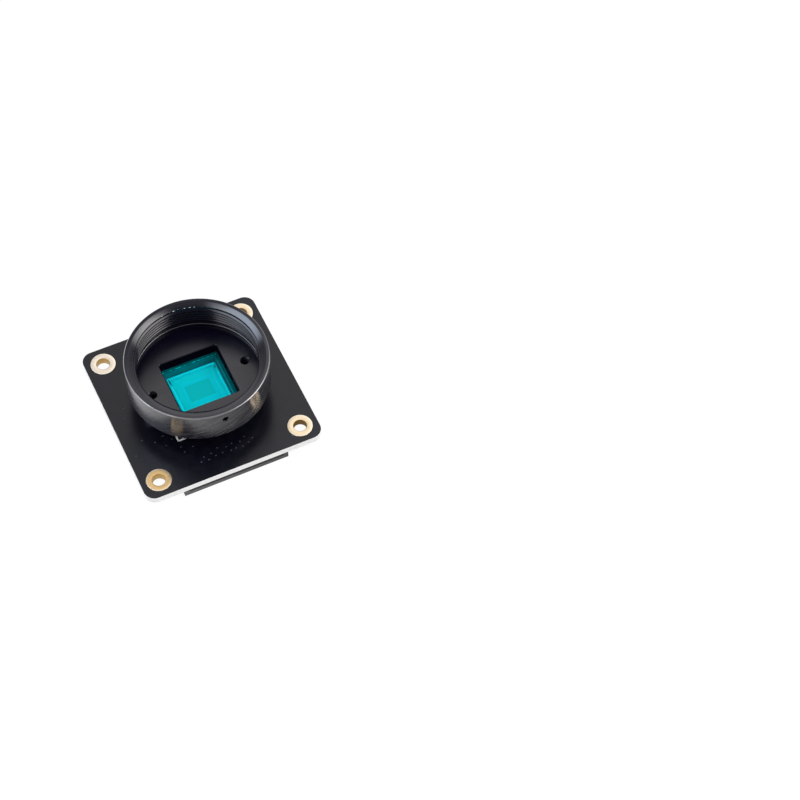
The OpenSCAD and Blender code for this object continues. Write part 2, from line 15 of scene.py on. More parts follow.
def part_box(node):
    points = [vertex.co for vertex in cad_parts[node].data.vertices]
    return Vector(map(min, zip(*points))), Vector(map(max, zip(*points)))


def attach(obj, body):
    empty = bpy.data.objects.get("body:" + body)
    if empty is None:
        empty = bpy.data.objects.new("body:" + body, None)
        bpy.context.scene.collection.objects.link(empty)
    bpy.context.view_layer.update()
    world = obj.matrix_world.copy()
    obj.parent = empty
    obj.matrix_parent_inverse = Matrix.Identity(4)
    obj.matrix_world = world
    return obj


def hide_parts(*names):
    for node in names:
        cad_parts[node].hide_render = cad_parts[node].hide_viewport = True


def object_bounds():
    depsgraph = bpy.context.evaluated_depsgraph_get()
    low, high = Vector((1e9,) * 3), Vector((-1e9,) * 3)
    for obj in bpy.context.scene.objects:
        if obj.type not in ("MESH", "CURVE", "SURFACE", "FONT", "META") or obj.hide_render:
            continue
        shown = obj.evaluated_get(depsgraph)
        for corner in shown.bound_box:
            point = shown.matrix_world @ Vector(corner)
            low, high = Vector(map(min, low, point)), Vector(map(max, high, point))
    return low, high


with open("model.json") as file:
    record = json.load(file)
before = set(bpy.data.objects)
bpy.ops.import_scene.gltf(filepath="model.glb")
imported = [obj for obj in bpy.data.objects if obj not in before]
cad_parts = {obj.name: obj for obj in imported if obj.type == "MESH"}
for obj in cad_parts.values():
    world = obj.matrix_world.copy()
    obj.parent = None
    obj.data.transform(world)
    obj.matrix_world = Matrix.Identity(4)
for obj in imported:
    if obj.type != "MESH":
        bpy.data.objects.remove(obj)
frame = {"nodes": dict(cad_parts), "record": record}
CAD_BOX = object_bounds()

MM = 0.001
TURN = 2 * math.pi
# vertices nearer than this are one
WELD = 1e-7


# ---------- places taken from the frame ----------

def mount(name):
    """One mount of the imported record."""
    return next(m for m in frame["record"]["mounts"] if m["name"] == name)


BOARD_LOW, BOARD_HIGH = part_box("pcb")
MOUNT_LOW, MOUNT_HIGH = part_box("lens_mount")
_, FILTER_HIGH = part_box("ir_filter")
_, PACKAGE_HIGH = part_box("sensor_package")
COVER_LOW, COVER_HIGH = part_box("sensor_cover_glass")
_, DIE_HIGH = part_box("sensor_die")
_, GASKET_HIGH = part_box("filter_gasket")
PLATING_LOW, PLATING_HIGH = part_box("hole_plating")
_, SCREWS_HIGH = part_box("mount_screws")

BOARD_TOP = BOARD_HIGH.z
BOARD_BOTTOM = BOARD_LOW.z
RIM_Z = MOUNT_HIGH.z
MOUNT_R = MOUNT_HIGH.x

HOLES = mount("board_holes")["dims"]
HOLE_R = HOLES["hole_r_mm"] * MM
HOLE_X = HOLES["spacing_x_mm"] * MM / 2
HOLE_Y = HOLES["spacing_y_mm"] * MM / 2
PAD_R = PLATING_HIGH.x - HOLE_X

THREAD = mount("lens_thread")
THREAD_R = THREAD["dims"]["r_mm"] * MM
THREAD_LENGTH = THREAD["dims"]["length_mm"] * MM
THREAD_LOW_Z = THREAD["pos_m"][2] - THREAD_LENGTH / 2
THREAD_TOP_Z = THREAD["pos_m"][2] + THREAD_LENGTH / 2

LOCK = mount("lock_screw_hole")
LOCK_R = LOCK["dims"]["r_mm"] * MM
LOCK_Z = LOCK["pos_m"][2]

# sizes that the frame doesn't name
THREAD_PITCH = 25.4 * MM / 32
THREAD_DEPTH = 0.43 * MM
ENTRY_W = 1.05 * MM
SEAT_Z = FILTER_HIGH.z
FLOOR_Z = SEAT_Z + 2.4 * MM
LIP_Z = FLOOR_Z + 0.9 * MM
SKIRT_Z = FLOOR_Z - 0.3 * MM
BASE_Z = SEAT_Z - 0.3 * MM
GROOVE_R = THREAD_R + 0.45 * MM
BASE_R = MOUNT_R - 1.7 * MM
RIM_CHAMFER = 0.12 * MM
LIP_CHAMFER = 0.12 * MM
SKIRT_CHAMFER = 0.4 * MM
WINDOW_HALF = FILTER_HIGH.x - 0.5 * MM
WINDOW_CORNER = 0.4 * MM
WINDOW_CHAMFER = 0.15 * MM
POCKET_HALF = FILTER_HIGH.x + 0.1 * MM
NECK_HALF = POCKET_HALF + 1.3 * MM
NECK_CORNER = 1 * MM
EAR_R = 2.4 * MM
TAP_R = 0.8 * MM
GASKET_INNER = GASKET_HIGH.x - 0.95 * MM
CAVITY_HALF = PACKAGE_HIGH.x - 0.95 * MM
SCREW_X = SCREWS_HIGH.x - 1.9 * MM
# how far one solid reaches into the next where they are joined or cut
OVERLAP = 0.5 * MM


# ---------- mesh helpers ----------

def shade(bm, angle=35):
    """Smooth faces, with edges sharper than angle kept crisp."""
    limit = math.radians(angle)
    for face in bm.faces:
        face.smooth = True
    for edge in bm.edges:
        edge.smooth = len(edge.link_faces) == 2 and edge.calc_face_angle() < limit


def to_object(bm, name, angle=35, flat=()):
    """A scene object made from bm, which is freed. Its flat faces are shaded flat."""
    bmesh.ops.recalc_face_normals(bm, faces=bm.faces)
    shade(bm, angle)
    for face in flat:
        face.smooth = False
    mesh = bpy.data.meshes.new(name)
    bm.to_mesh(mesh)
    bm.free()
    obj = bpy.data.objects.new(name, mesh)
    bpy.context.scene.collection.objects.link(obj)
    return obj


def place(obj, material, body="module", stands_for=()):
    """Gives a piece its material and body, and hides the CAD nodes it stands for."""
    obj.data.materials.clear()
    obj.data.materials.append(material)
    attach(obj, body)
    if stands_for:
        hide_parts(*stands_for)
    return obj


def arc_corner(before, corner, after, radius, steps=4):
    """Points of a round corner in a 2-D outline."""
    a, b = (Vector(before) - Vector(corner)), (Vector(after) - Vector(corner))
    most = 0.45
    reach = min(radius / math.tan(a.angle(b) / 2), most * a.length, most * b.length)
    start, end = Vector(corner) + a.normalized() * reach, Vector(corner) + b.normalized() * reach
    points = []
    for i in range(steps + 1):
        t = i / steps
        points.append((1 - t) ** 2 * start + 2 * t * (1 - t) * Vector(corner) + t * t * end)
    return points


def soft_outline(corners, radius, steps=4):
    """A closed 2-D outline with every corner rounded."""
    count = len(corners)
    points = []
    for i, corner in enumerate(corners):
        points += arc_corner(corners[i - 1], corner, corners[(i + 1) % count], radius, steps)
    return points


def lathe(bm, profile, segments, centre=(0, 0)):
    """Turns a closed profile of (radius, z) points about a vertical line. Points on it are shared."""
    rings = []
    for r, z in profile:
        if r < WELD:
            rings.append([bm.verts.new((centre[0], centre[1], z))] * segments)
            continue
        rings.append([
            bm.verts.new((
                centre[0] + r * math.cos(TURN * i / segments),
                centre[1] + r * math.sin(TURN * i / segments),
                z,
            ))
            for i in range(segments)
        ])
    for ring, following in zip(rings, rings[1:] + rings[:1]):
        for i in range(segments):
            j = (i + 1) % segments
            corners = list(dict.fromkeys([ring[i], ring[j], following[j], following[i]]))
            if len(corners) > 2:
                bm.faces.new(corners)


def prism(bm, sections):
    """A closed solid through 2-D loops of equal length, each given with its height: [(loop, z), ...]."""
    rings = [[bm.verts.new((p[0], p[1], z)) for p in loop] for loop, z in sections]
    count = len(rings[0])
    for low, high in zip(rings, rings[1:]):
        for i in range(count):
            j = (i + 1) % count
            bm.faces.new([low[i], low[j], high[j], high[i]])
    bm.faces.new(rings[0][::-1])
    bm.faces.new(rings[-1])


def round_rect(half_x, half_y, radius, steps=6, centre=(0, 0)):
    """Loop of a rectangle with round corners."""
    loop = []
    for i, (sx, sy) in enumerate(((1, 1), (-1, 1), (-1, -1), (1, -1))):
        for k in range(steps + 1):
            angle = TURN / 4 * (i + k / steps)
            loop.append((
                centre[0] + sx * (half_x - radius) + radius * math.cos(angle),
                centre[1] + sy * (half_y - radius) + radius * math.sin(angle),
            ))
    return loop


def combine(obj, tool, operation):
    """Cuts tool from obj, or joins it, and removes tool."""
    modifier = obj.modifiers.new("combine", "BOOLEAN")
    modifier.solver = "EXACT"
    modifier.operation = operation
    modifier.object = tool
    depsgraph = bpy.context.evaluated_depsgraph_get()
    mesh = bpy.data.meshes.new_from_object(obj.evaluated_get(depsgraph))
    obj.modifiers.clear()
    obj.data = mesh
    bpy.data.objects.remove(tool)


def islands(node):
    """(lowest, highest) corners of each separate solid in a CAD node."""
    bm = bmesh.new()
    bm.from_mesh(frame["nodes"][node].data)
    bmesh.ops.remove_doubles(bm, verts=bm.verts, dist=WELD)
    left, boxes = set(bm.verts), []
    while left:
        stack, group = [next(iter(left))], set()
        while stack:
            vert = stack.pop()
            if vert in group:
                continue
            group.add(vert)
            stack += [e.other_vert(vert) for e in vert.link_edges]
        left -= group
        boxes.append((
            Vector(min(v.co[k] for v in group) for k in range(3)),
            Vector(max(v.co[k] for v in group) for k in range(3)),
        ))
    bm.free()
    return sorted(boxes, key=lambda b: tuple(round(c, 6) for c in b[0]))


def softened(node, name, width, material, body="module", segments=2, sharper_than=40,
             flat_sides=True):
    """A copy of a CAD node with its edges rounded, which stands for it."""
    bm = bmesh.new()
    bm.from_mesh(frame["nodes"][node].data)
    bmesh.ops.remove_doubles(bm, verts=bm.verts, dist=WELD)
    bmesh.ops.dissolve_limit(bm, angle_limit=math.radians(1), verts=bm.verts, edges=bm.edges)
    limit = math.radians(sharper_than)
    square_on, least_area = 0.9999, 0.3e-6
    edges = [e for e in bm.edges if len(e.link_faces) == 2 and e.calc_face_angle() > limit]
    rounded = bmesh.ops.bevel(bm, geom=edges, offset=width, segments=segments, profile=0.5,
                              affect="EDGES", clamp_overlap=True)["faces"]
    rounded = set(rounded)
    flat = [
        f for f in bm.faces
        if flat_sides and f not in rounded
        and max(abs(c) for c in f.normal) > square_on and f.calc_area() > least_area
    ]
    return place(to_object(bm, name, flat=flat), material, body, [node])


# ---------- material helpers ----------

def add(tree, kind, inputs=None, **settings):
    """A new node. An input is a value or the output that feeds it."""
    node = tree.nodes.new(kind)
    for key, value in settings.items():
        setattr(node, key, value)
    for key, value in (inputs or {}).items():
        if isinstance(value, bpy.types.NodeSocket):
            tree.links.new(value, node.inputs[key])
        else:
            node.inputs[key].default_value = value
    return node


def maths(tree, operation, a, b=0.0):
    """The result of one math node."""
    return add(tree, "ShaderNodeMath", {0: a, 1: b}, operation=operation).outputs[0]


def times(tree, a, b):
    """a multiplied by b."""
    return maths(tree, "MULTIPLY", a, b)


def plus(tree, a, b):
    """a and b added."""
    return maths(tree, "ADD", a, b)


def minus(tree, a, b):
    """a less b."""
    return maths(tree, "SUBTRACT", a, b)


def along(tree, vector, aim):
    """How far vector reaches along aim."""
    return add(tree, "ShaderNodeVectorMath", {0: vector, 1: aim}, operation="DOT_PRODUCT").outputs["Value"]


def blend_colour(tree, share, a, b):
    """Colour a where share is 0 and b where it is 1."""
    node = tree.nodes.new("ShaderNodeMix")
    node.data_type = "RGBA"
    for index, value in ((0, share), (6, a), (7, b)):
        if isinstance(value, bpy.types.NodeSocket):
            tree.links.new(value, node.inputs[index])
        else:
            node.inputs[index].default_value = value if index == 0 else (*value, 1)
    return node.outputs[2]


def spread(tree, value, low, high, to_low=0.0, to_high=1.0):
    """Maps value from low..high to to_low..to_high, clamped."""
    return add(tree, "ShaderNodeMapRange", {
        "Value": value, "From Min": low, "From Max": high, "To Min": to_low, "To Max": to_high,
    }).outputs[0]


def in_mm(tree):
    """The place on the piece, in millimetres of the CAD frame."""
    place_on = add(tree, "ShaderNodeTexCoord").outputs["Object"]
    return add(tree, "ShaderNodeVectorMath", {0: place_on, "Scale": 1000}, operation="SCALE").outputs[0]


def noise(tree, vector, scale, detail=4, roughness=0.55):
    """Fractal noise, 0 to 1, with scale in cells per unit of vector."""
    return add(tree, "ShaderNodeTexNoise", {
        "Vector": vector, "Scale": scale, "Detail": detail, "Roughness": roughness,
    }).outputs["Fac"]


def relief(tree, height, distance_mm, strength):
    """A bump of the given height field."""
    return add(tree, "ShaderNodeBump", {
        "Height": height, "Distance": distance_mm * MM, "Strength": strength,
    }).outputs[0]


def material(name):
    """A new material, its tree and its Principled shader."""
    made = bpy.data.materials.new(name)
    made.use_nodes = True
    tree = made.node_tree
    return made, tree, tree.nodes["Principled BSDF"]


def feed(tree, shader, **inputs):
    """Sets or links inputs of a shader, with _ for a space in their names."""
    for key, value in inputs.items():
        socket = shader.inputs[key.replace("_", " ")]
        if isinstance(value, bpy.types.NodeSocket):
            tree.links.new(value, socket)
        elif hasattr(value, "__len__") and len(value) == 3:
            socket.default_value = (*value, 1)
        else:
            socket.default_value = value


# ---------- materials ----------

def scratches(tree, axes):
    """Fine slanting scratches round the outer wall, 0 to 1."""
    # they climb the wall at about 21 degrees, and are 11 times as long as wide
    cosine, sine = 0.93, 0.36
    around = times(tree, maths(tree, "ARCTAN2", axes[1], axes[0]), MOUNT_R / MM)
    lengthwise = plus(tree, times(tree, around, cosine), times(tree, axes[2], sine))
    across = minus(tree, times(tree, axes[2], cosine), times(tree, around, sine))
    stretched = add(tree, "ShaderNodeCombineXYZ", {
        0: times(tree, lengthwise, 0.2), 1: times(tree, across, 2.2),
    }).outputs[0]
    return spread(tree, noise(tree, stretched, 1, 5, 0.75), 0.46, 0.7)


def anodised_black(name, bend):
    """Black anodised aluminium with fine turning marks round the axis, scratches rubbed lighter on the
    outer wall, and painted highlights on the lip and the near rim edge.
    """
    dye_deep, dye_thin = (0.002, 0.0018, 0.008), (0.0045, 0.004, 0.012)
    # the wall colour shows through the scratches; the lip and rim colours are painted highlights
    bare_wall, lip_highlight_paint, rim_highlight_paint = (0.1, 0.095, 0.09), (0.09, 0.088, 0.1), (0.13, 0.13, 0.135)
    made, tree, shader = material(name)
    point = in_mm(tree)
    axes = add(tree, "ShaderNodeSeparateXYZ", {0: point}).outputs
    flat = add(tree, "ShaderNodeCombineXYZ", {0: axes[0], 1: axes[1]}).outputs[0]
    radius = add(tree, "ShaderNodeVectorMath", {0: flat}, operation="LENGTH").outputs["Value"]
    heading = add(tree, "ShaderNodeSeparateXYZ", {
        0: add(tree, "ShaderNodeVectorMath", {0: flat}, operation="NORMALIZE").outputs[0],
    }).outputs
    across = plus(tree, axes[2], radius)
    lines = add(tree, "ShaderNodeCombineXYZ", {
        0: times(tree, heading[0], 1.2),
        1: times(tree, heading[1], 1.2),
        2: times(tree, across, 6),
    }).outputs[0]
    turned = noise(tree, lines, 3, 6, 0.7)
    grain = noise(tree, point, 14, 3)
    blotch = noise(tree, point, 0.35, 3)
    tone = plus(tree, times(tree, turned, 0.6), times(tree, blotch, 0.4))

    outside = spread(tree, radius, MOUNT_R / MM - 0.2, MOUNT_R / MM - 0.16)
    rim_edge = times(tree, outside, spread(tree, axes[2], RIM_Z / MM - 0.2, RIM_Z / MM - 0.14))
    # the wall is scratched most where a hand grips it, beside the lock screw's hole
    nearness = times(tree, heading[1], -1)
    gripped = spread(tree, nearness, 0.55, 0.9, 0.2, 1)
    worn = times(tree, times(tree, scratches(tree, axes), outside), gripped)
    # a thin lighter line round the lip's edge, a painted highlight
    lip_painted_highlight = times(
        tree,
        maths(tree, "LESS_THAN", maths(tree, "ABSOLUTE", minus(tree, radius, THREAD_R / MM)), 0.14),
        maths(tree, "LESS_THAN", maths(tree, "ABSOLUTE", minus(tree, axes[2], LIP_Z / MM)), 0.12),
    )
    dye = blend_colour(tree, spread(tree, tone, 0.35, 0.65), dye_deep, dye_thin)
    wear_and_painted_highlight = blend_colour(tree, times(tree, worn, 0.8), dye, bare_wall)
    wear_and_painted_highlight = blend_colour(tree, lip_painted_highlight, wear_and_painted_highlight, lip_highlight_paint)
    # the rim's outer edge on the near side is painted lighter, a painted highlight
    near_rim_painted_highlight = times(tree, rim_edge, spread(tree, nearness, 0.2, 0.75))
    wear_and_painted_highlight = blend_colour(tree, near_rim_painted_highlight, wear_and_painted_highlight, rim_highlight_paint)
    on_floor = spread(tree, axes[2], FLOOR_Z / MM + 0.02, FLOOR_Z / MM + 0.1, 1, 0)
    marks = times(tree, turned, spread(tree, on_floor, 0, 1, 1, 0.15))
    height = plus(tree, plus(tree, marks, times(tree, grain, 0.3)), times(tree, worn, 0.8))
    # the far side of the rim and the far outer part of the floor mirror less, a painted shade
    far_rim_painted_shade = times(tree, spread(tree, axes[2], RIM_Z / MM - 0.06, RIM_Z / MM - 0.02),
                     spread(tree, axes[1], -2, 8))
    far_floor_painted_shade = times(tree, on_floor, spread(tree, plus(tree, radius, axes[1]), 9, 20))
    shine = minus(tree, 0.5, plus(tree, times(tree, far_rim_painted_shade, 0.3), times(tree, far_floor_painted_shade, 0.4)))
    feed(
        tree, shader,
        Base_Color=wear_and_painted_highlight,
        Roughness=spread(
            tree, minus(tree, plus(tree, turned, times(tree, worn, 0.6)), rim_edge),
            -0.4, 1.2, 0.07, 0.3,
        ),
        Specular_IOR_Level=plus(tree, shine, times(tree, rim_edge, 0.5)),
        IOR=bend,
        Coat_Weight=rim_edge,
        Coat_Roughness=0.08,
        Coat_IOR=2.2,
        Normal=relief(tree, height, 0.006, 0.7),
        Tangent=add(tree, "ShaderNodeTangent", axis="Z", direction_type="RADIAL").outputs[0],
    )
    shader.inputs["Anisotropic"].default_value = 0.7
    shader.inputs["Anisotropic Rotation"].default_value = 0.25
    return made


def solder_mask():
    """Black solder mask over copper, with the bare laminate on the routed edge."""
    made, tree, shader = material("solder_mask")
    point = in_mm(tree)
    axes = add(tree, "ShaderNodeSeparateXYZ", {0: point}).outputs
    thickness = (BOARD_TOP - BOARD_BOTTOM) / MM
    middle = (BOARD_TOP + BOARD_BOTTOM) / 2 / MM
    from_middle = maths(tree, "ABSOLUTE", minus(tree, axes[2], middle))
    mask_depth, soft = 0.045, 0.01
    skin = spread(tree, from_middle, thickness / 2 - mask_depth, thickness / 2 - mask_depth + soft)
    copper = noise(tree, point, 0.5, 2)
    pebble = noise(tree, point, 9, 4)
    mask_tone = blend_colour(
        tree, spread(tree, copper, 0.4, 0.6), (0.002, 0.0024, 0.006), (0.004, 0.0042, 0.009),
    )
    plies = add(tree, "ShaderNodeTexWave", {
        "Vector": point, "Scale": 1.6, "Distortion": 1.5, "Detail": 2, "Detail Scale": 3,
    }, wave_type="BANDS", bands_direction="Z").outputs["Fac"]
    fibres = noise(tree, point, 7, 5, 0.7)
    edge_tone = blend_colour(
        tree, times(tree, plus(tree, plies, fibres), 0.5),
        (0.9, 0.89, 0.87), (0.97, 0.97, 0.96),
    )
    feed(
        tree, shader,
        Base_Color=blend_colour(tree, skin, edge_tone, mask_tone),
        Roughness=spread(tree, plus(tree, skin, times(tree, pebble, 0.1)), 0, 1, 0.75, 0.26),
        Normal=relief(tree, plus(tree, copper, times(tree, pebble, 0.25)), 0.012, 0.5),
    )
    return made


def plated(name, light, dark, rough_low, rough_high):
    """A plated metal with uneven tone and a fine grain."""
    made, tree, shader = material(name)
    point = in_mm(tree)
    cloud = noise(tree, point, 5, 4)
    grain = noise(tree, point, 35, 3)
    feed(
        tree, shader,
        Base_Color=blend_colour(tree, spread(tree, cloud, 0.35, 0.65), dark, light),
        Metallic=1.0,
        Roughness=spread(tree, cloud, 0.3, 0.7, rough_low, rough_high),
        Normal=relief(tree, grain, 0.006, 0.5),
    )
    return made


def ring_gold():
    """Gold plating of the mounting holes, with a painted highlight towards the rolled outer edge and a
    painted shade down the barrel.
    """
    made, tree, shader = material("ring_gold")
    point = in_mm(tree)
    folded = add(tree, "ShaderNodeVectorMath", {0: point}, operation="ABSOLUTE").outputs[0]
    from_hole = add(tree, "ShaderNodeVectorMath", {
        0: add(tree, "ShaderNodeVectorMath", {0: folded, 1: (HOLE_X / MM, HOLE_Y / MM, 0)},
               operation="SUBTRACT").outputs[0],
        1: (1, 1, 0),
    }, operation="MULTIPLY").outputs[0]
    radius = add(tree, "ShaderNodeVectorMath", {0: from_hole}, operation="LENGTH").outputs["Value"]
    cloud = noise(tree, point, 1.6, 4)
    grain = noise(tree, point, 26, 3)
    usual = blend_colour(tree, spread(tree, cloud, 0.35, 0.65), (1.0, 0.77, 0.5), (1.0, 0.84, 0.62))

    # the rings are paler towards the board's far left corner and deeper towards its near left corner
    far_left, near_left = along(tree, point, (-0.7, 0.7, 0)), along(tree, point, (-0.7, -0.7, 0))
    start, full = 10, 18
    paler_far_left = blend_colour(tree, spread(tree, far_left, start, full), usual, (1.0, 0.87, 0.72))
    face = blend_colour(tree, spread(tree, near_left, start, full), paler_far_left, (0.93, 0.62, 0.28))
    # lighter towards the outer edge of each ring, a painted highlight; darker down the barrel, a painted
    # shade
    pad_edge_painted_highlight = spread(tree, radius, PAD_R / MM - 0.4, PAD_R / MM - 0.1)
    barrel_painted_shade = spread(tree, radius, HOLE_R / MM + 0.03, HOLE_R / MM + 0.12, 1, 0)
    with_pad_edge_highlight = blend_colour(tree, times(tree, pad_edge_painted_highlight, 0.6), face, (1.0, 0.94, 0.82))
    feed(
        tree, shader,
        Base_Color=blend_colour(tree, barrel_painted_shade, with_pad_edge_highlight, (0.4, 0.25, 0.08)),
        Metallic=1.0,
        Roughness=spread(tree, plus(tree, cloud, times(tree, barrel_painted_shade, 0.4)), 0.3, 1.1, 0.25, 0.5),
        Normal=relief(tree, grain, 0.003, 0.25),
    )
    return made


def moulded(name, light, dark, rough_low, rough_high, grain_scale=22.0, grain_height=0.006):
    """Moulded plastic, ceramic or foam: a fine grain and a slow change of tone."""
    made, tree, shader = material(name)
    point = in_mm(tree)
    cloud = noise(tree, point, 1.3, 3)
    grain = noise(tree, point, grain_scale, 4)
    feed(
        tree, shader,
        Base_Color=blend_colour(
            tree, spread(tree, plus(tree, cloud, times(tree, grain, 0.5)), 0.55, 0.95), dark, light,
        ),
        Roughness=spread(tree, grain, 0.3, 0.7, rough_low, rough_high),
        Normal=relief(tree, grain, grain_height, 0.6),
    )
    return made


def foam_grey():
    """Grey foam: open cells on the cut sides; the faces that look up or down are painted darker, a painted
    shade that evens out the light from above.
    """
    made, tree, shader = material("foam_grey")
    point = in_mm(tree)
    cells = add(tree, "ShaderNodeTexVoronoi", {"Vector": point, "Scale": 9.0}).outputs["Distance"]
    grain = noise(tree, point, 16, 4)
    upright = add(tree, "ShaderNodeSeparateXYZ", {
        0: add(tree, "ShaderNodeNewGeometry").outputs["Normal"],
    }).outputs[2]
    # faces that look up or down get the darker colour, a painted shade
    face = spread(tree, maths(tree, "ABSOLUTE", upright), 0.6, 0.9)
    cut = blend_colour(tree, cells, (0.42, 0.43, 0.45), (0.27, 0.28, 0.3))
    feed(
        tree, shader,
        Base_Color=blend_colour(tree, face, cut, (0.15, 0.152, 0.16)),
        Roughness=spread(tree, grain, 0.3, 0.7, 0.8, 0.95),
        Normal=relief(tree, plus(tree, cells, grain), 0.02, 0.6),
    )
    return made


def see_through(name, tint, lamp_tint, roughness_high, mirror, bend):
    """Coated glass: it bends what the eye sees, mirrors little, and lets the lamps through in lamp_tint."""
    made, tree, shader = material(name)
    point = in_mm(tree)
    smear = noise(tree, point, 0.9, 4)
    output = tree.nodes["Material Output"]
    feed(
        tree, shader,
        Base_Color=tint,
        Roughness=spread(tree, smear, 0.45, 0.7, 0, roughness_high),
        Transmission_Weight=1.0,
        IOR=bend,
        Specular_Tint=(mirror, mirror, mirror),
    )
    paths = add(tree, "ShaderNodeLightPath").outputs
    light_ray = maths(tree, "MAXIMUM", paths["Is Shadow Ray"], paths["Is Diffuse Ray"])
    clear = add(tree, "ShaderNodeBsdfTransparent", {"Color": (*lamp_tint, 1)})
    mixed = add(tree, "ShaderNodeMixShader", {0: light_ray, 1: shader.outputs[0], 2: clear.outputs[0]})
    tree.links.new(mixed.outputs[0], output.inputs["Surface"])
    return made


def silicon():
    """The die: a bright border round the darker pixel array."""
    made, tree, shader = material("silicon")
    point = in_mm(tree)
    axes = add(tree, "ShaderNodeSeparateXYZ", {0: point}).outputs
    # middle and half sides of the array, in mm, and how soft its edge is
    middle_x, middle_y, half_x, half_y, soft = 0.08, 0.28, 2.62, 1.96, 0.1
    off_x = maths(tree, "ABSOLUTE", minus(tree, axes[0], middle_x))
    off_y = maths(tree, "ABSOLUTE", minus(tree, axes[1], middle_y))
    inside_x = spread(tree, off_x, half_x, half_x + soft, 1, 0)
    inside_y = spread(tree, off_y, half_y, half_y + soft, 1, 0)
    array = times(tree, inside_x, inside_y)
    cells = add(tree, "ShaderNodeTexChecker", {"Vector": point, "Scale": 30}).outputs["Fac"]
    border = blend_colour(tree, noise(tree, point, 6, 3), (0.9, 0.92, 0.95), (0.94, 0.96, 0.98))
    pixels = blend_colour(tree, cells, (0.6, 0.68, 0.62), (0.64, 0.72, 0.66))
    feed(
        tree, shader,
        Base_Color=blend_colour(tree, array, border, pixels),
        Metallic=spread(tree, array, 0, 1, 0, 0.3),
        Roughness=spread(tree, array, 0, 1, 0.4, 0.28),
    )
    return made


def white_floor():
    """A white floor that keeps the object's shadow. Gloss sees it fall off from the left to the right."""
    made, tree, shader = material("white_floor")
    feed(tree, shader, Base_Color=(0.8, 0.8, 0.8), Roughness=0.9, Specular_IOR_Level=0.0)
    paths = add(tree, "ShaderNodeLightPath").outputs
    seen = maths(
        tree, "MAXIMUM", maths(tree, "MAXIMUM", paths["Is Camera Ray"], paths["Is Glossy Ray"]),
        paths["Is Transmission Ray"],
    )
    across = add(tree, "ShaderNodeSeparateXYZ", {0: in_mm(tree)}).outputs[0]
    plain, left_glow, right_glow = 0.95, 1.4, 0.14
    lit = add(tree, "ShaderNodeMix", {
        0: paths["Is Glossy Ray"], 2: plain, 3: spread(tree, across, -24, 20, left_glow, right_glow),
    }, data_type="FLOAT").outputs[0]
    glow = add(tree, "ShaderNodeEmission", {"Color": (1, 1, 1, 1), "Strength": lit})
    shadow_catcher = add(tree, "ShaderNodeBsdfDiffuse", {"Color": (0.08, 0.08, 0.08, 1)})
    white = add(tree, "ShaderNodeAddShader", {0: glow.outputs[0], 1: shadow_catcher.outputs[0]})
    mixed = add(tree, "ShaderNodeMixShader", {0: seen, 1: shader.outputs[0], 2: white.outputs[0]})
    tree.links.new(mixed.outputs[0], tree.nodes["Material Output"].inputs["Surface"])
    return made


ANODISED = anodised_black("anodised_black", 1.7)
# the thread mirrors less than the rest of the mount, a painted shade over it
ANODISED_THREAD = anodised_black("anodised_thread", 1.5)
# the window walls mirror almost nothing, a painted shade
ANODISED_WINDOW_PAINTED_SHADE = anodised_black("anodised_window_painted_shade", 1.02)
MASK = solder_mask()
GOLD = ring_gold()
STEEL = plated("steel", (0.72, 0.72, 0.73), (0.6, 0.6, 0.62), 0.25, 0.4)
TIN = plated("tin", (0.78, 0.79, 0.8), (0.66, 0.67, 0.68), 0.25, 0.45)
CONTACT = plated("contact", (0.86, 0.72, 0.45), (0.76, 0.6, 0.34), 0.22, 0.35)
SOLDER = plated("solder", (0.8, 0.81, 0.82), (0.7, 0.71, 0.72), 0.18, 0.32)
LID = plated("lid", (0.74, 0.72, 0.68), (0.64, 0.62, 0.58), 0.3, 0.42)
FOAM = foam_grey()
CERAMIC = moulded("ceramic", (0.96, 0.96, 0.96), (0.9, 0.9, 0.9), 0.3, 0.45)
IVORY = moulded("socket_ivory", (0.8, 0.77, 0.68), (0.72, 0.69, 0.6), 0.4, 0.55)
LATCH = moulded("latch_grey", (0.1, 0.1, 0.106), (0.072, 0.072, 0.078), 0.45, 0.6)
MOULD = moulded("mould_black", (0.03, 0.03, 0.03), (0.02, 0.02, 0.02), 0.5, 0.65, 30, 0.008)
CHIP_TAN = moulded("chip_tan", (0.58, 0.44, 0.3), (0.46, 0.34, 0.22), 0.45, 0.6)
GLAZE = moulded("resistor_glaze", (0.02, 0.02, 0.022), (0.012, 0.012, 0.014), 0.15, 0.25)
FERRITE = moulded("ferrite", (0.17, 0.17, 0.18), (0.11, 0.11, 0.12), 0.55, 0.7)
PRINT = moulded("print_white", (0.96, 0.96, 0.96), (0.9, 0.9, 0.9), 0.45, 0.6, 12, 0.01)
BARE_RING = moulded("bare_ring", (0.012, 0.008, 0.004), (0.007, 0.005, 0.003), 0.7, 0.85)
SEAL = plated("seal", (1.0, 1.0, 1.0), (0.96, 0.97, 0.98), 0.06, 0.16)
GLUE = moulded("glue", (1.0, 1.0, 1.0), (0.95, 0.95, 0.95), 0.15, 0.3, 12, 0.004)
BURR = plated("burr", (0.92, 0.9, 0.88), (0.75, 0.74, 0.73), 0.15, 0.3)
VIA = moulded("via_mask", (0.016, 0.017, 0.03), (0.009, 0.01, 0.02), 0.3, 0.45)
FILTER_GLASS = see_through("filter_glass", (0.0, 0.89, 1.0), (1.0, 1.0, 1.0), 0.02, 0.05, 1.5)
COVER_GLASS = see_through("cover_glass", (0.99, 1.0, 1.0), (0.99, 1.0, 1.0), 0.02, 0.3, 1.12)
SILICON = silicon()


# ---------- lens mount ----------

